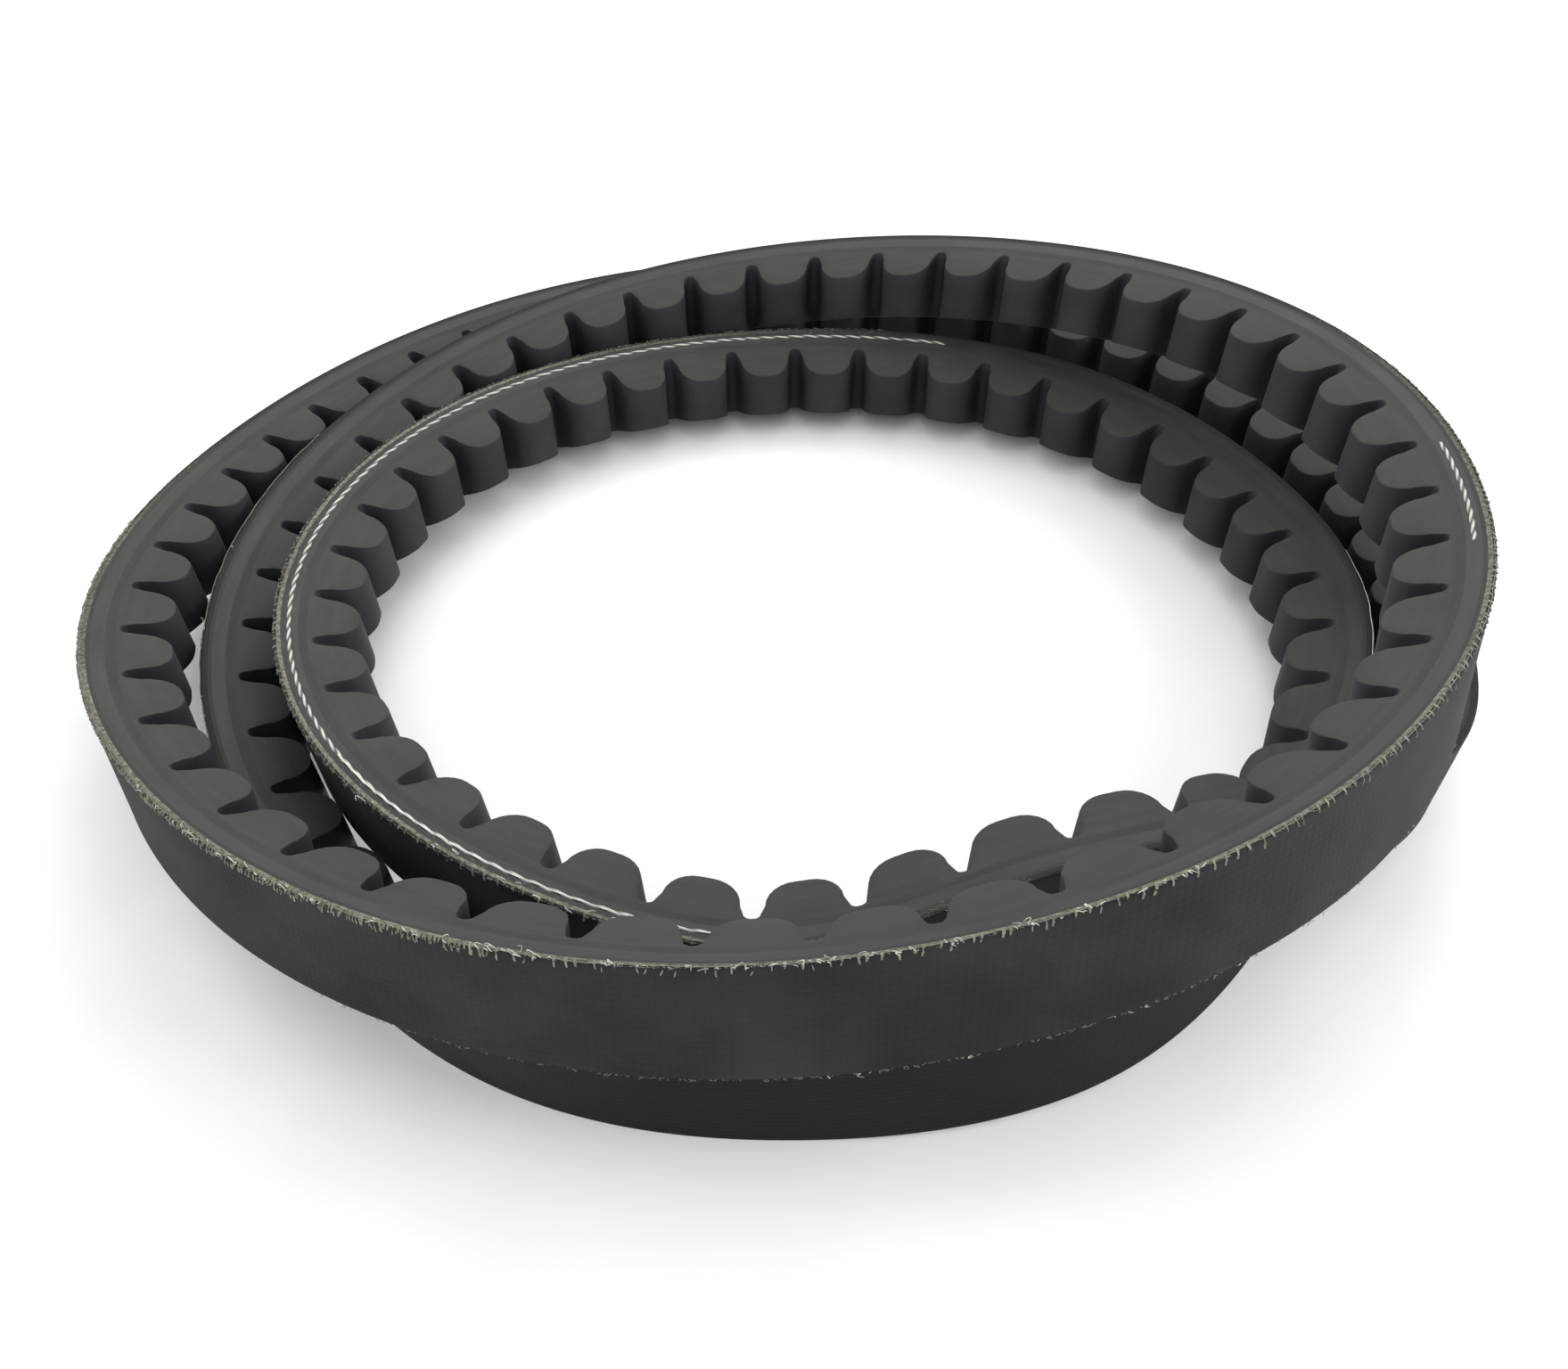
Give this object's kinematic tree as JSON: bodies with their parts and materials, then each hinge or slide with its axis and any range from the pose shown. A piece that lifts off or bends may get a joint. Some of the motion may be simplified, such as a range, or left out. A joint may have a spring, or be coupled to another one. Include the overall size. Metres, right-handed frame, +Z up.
{
  "type": "v belt",
  "caption": "Endless raw-edge cogged V belt at rest, coiled on its edge in overlapping turns, with moulded cogs on its inner side.",
  "frame": {"origin": "middle of the coil's footprint, on the table", "axes": "+Z up, across the belt's width; +X along the coil's longer side; the back of the coil is towards +Y"},
  "size_m": [0.1924, 0.1896, 0.0473],
  "materials": {
    "fabric": "rubber-coated weave, matte",
    "inner_fabric": "rubbered weave with pale cut fibres",
    "overcord": "cut raw edge, matte",
    "gum": "cut raw edge, satin",
    "cord": "twisted polyester cord",
    "undercord": "cut raw edge, matte",
    "cog_rubber": "moulded and cut, matte"
  },
  "bodies": {
    "root": {"outer_fabric_ply": "fabric", "inner_fabric_ply": "inner_fabric", "overcord_rubber": "overcord", "upper_cushion_gum": "gum", "tensile_cord": "cord", "lower_cushion_gum": "gum", "undercord_rubber": "undercord", "cog_pad": "cog_rubber"}
  },
  "joints": []
}
